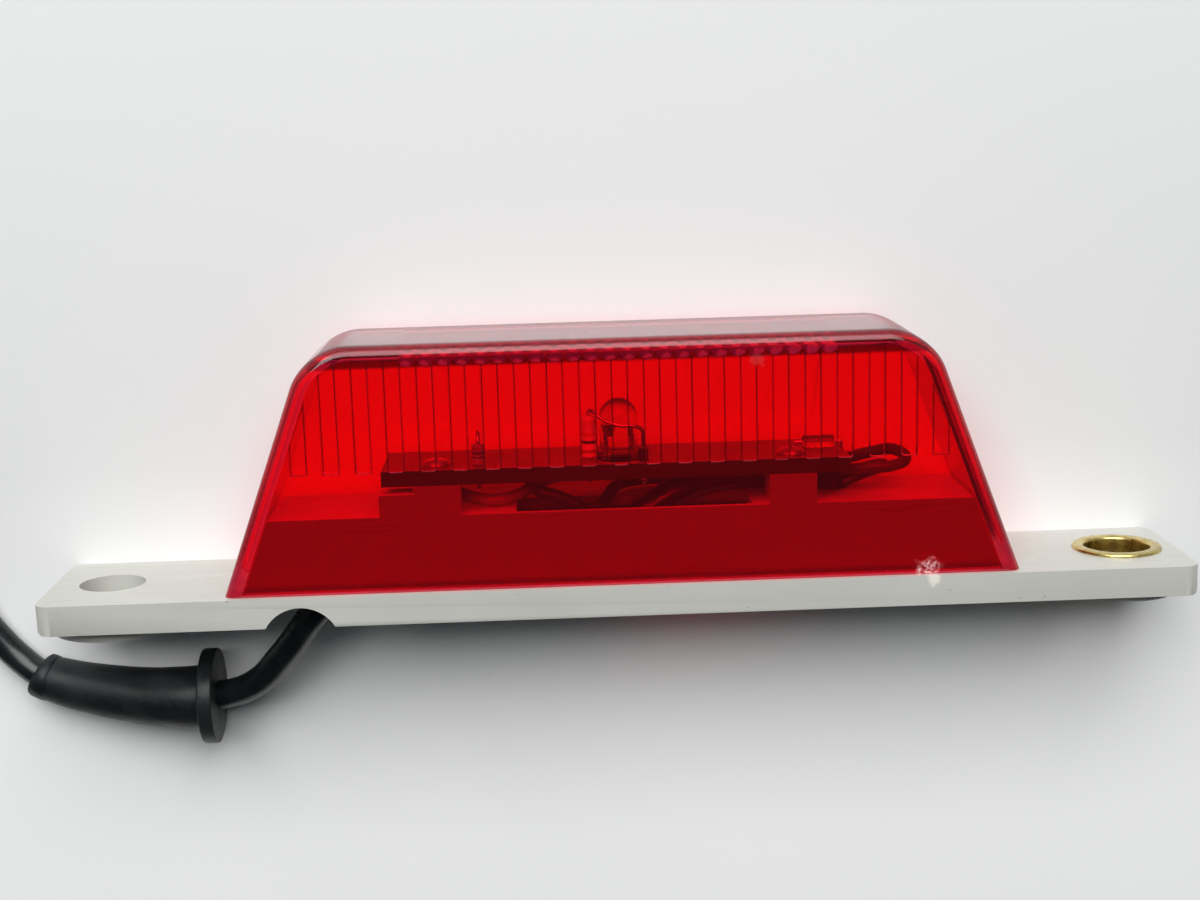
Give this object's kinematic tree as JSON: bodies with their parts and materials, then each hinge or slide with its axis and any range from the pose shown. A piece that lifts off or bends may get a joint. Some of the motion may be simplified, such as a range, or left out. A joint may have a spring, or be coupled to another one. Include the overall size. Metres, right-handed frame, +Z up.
{
  "type": "third brake light",
  "caption": "Slim red third brake light: ribbed lens on a white two-hole housing, circuit board with diode lamp, and a coiled supply cable with strain relief and connector.",
  "frame": {"origin": "middle of the lamp's underside as it lies on its long side: mid-length, midway between the feet and the lens's crown, on the surface it lies on", "axes": "+X along the lamp, from the cable end to the eyelet end; +Y from the mounting feet to the lens's crown; +Z up, out of the wide side of the lens that shows the board; mounted, the feet face -Y"},
  "size_m": [0.2197, 0.0849, 0.022],
  "materials": {
    "housing_plastic": "ivory-white moulded plastic, semi-gloss",
    "eyelet_brass": "rolled brass, satin",
    "lens_red": "clear red acrylic, polished",
    "board_laminate": "green-brown laminate",
    "screw_steel": "zinc-plated",
    "lamp_epoxy": "water-clear epoxy",
    "tinned_wire": "tinned",
    "tan_lacquer": "lacquered",
    "blue_lacquer": "lacquered",
    "diode_glass": "orange glass",
    "sleeve_black": "satin insulating sleeve",
    "solder": "solder, bright",
    "cable_sheath": "black PVC sheath, satin",
    "core_brown": "brown PVC insulation",
    "core_black": "black PVC insulation",
    "relief_rubber": "black moulded rubber, matt",
    "tie_plastic": "black nylon",
    "boot_rubber": "black moulded rubber",
    "connector_plastic": "black glass-filled nylon",
    "terminal_brass": "tin-flashed brass"
  },
  "bodies": {
    "root": {"base_housing": "housing_plastic", "brass_eyelet": "eyelet_brass", "lens": "lens_red", "circuit_board": "board_laminate", "board_screws": "screw_steel", "led_body": "lamp_epoxy", "led_leads": "tinned_wire", "tall_resistor_leads": "tinned_wire", "short_resistor_leads": "tinned_wire", "diode_leads": "tinned_wire", "tall_resistor": "tan_lacquer", "short_resistor": "blue_lacquer", "glass_diode": "diode_glass", "lead_sleeve": "sleeve_black", "solder_joints": "solder", "supply_cable": "cable_sheath", "cable_coil": "cable_sheath", "cable_tail": "cable_sheath", "brown_core": "core_brown", "black_core": "core_black", "strain_relief": "relief_rubber", "coil_tie": "tie_plastic", "connector_boot": "boot_rubber", "connector_housing": "connector_plastic", "connector_terminals": "terminal_brass"}
  },
  "joints": []
}
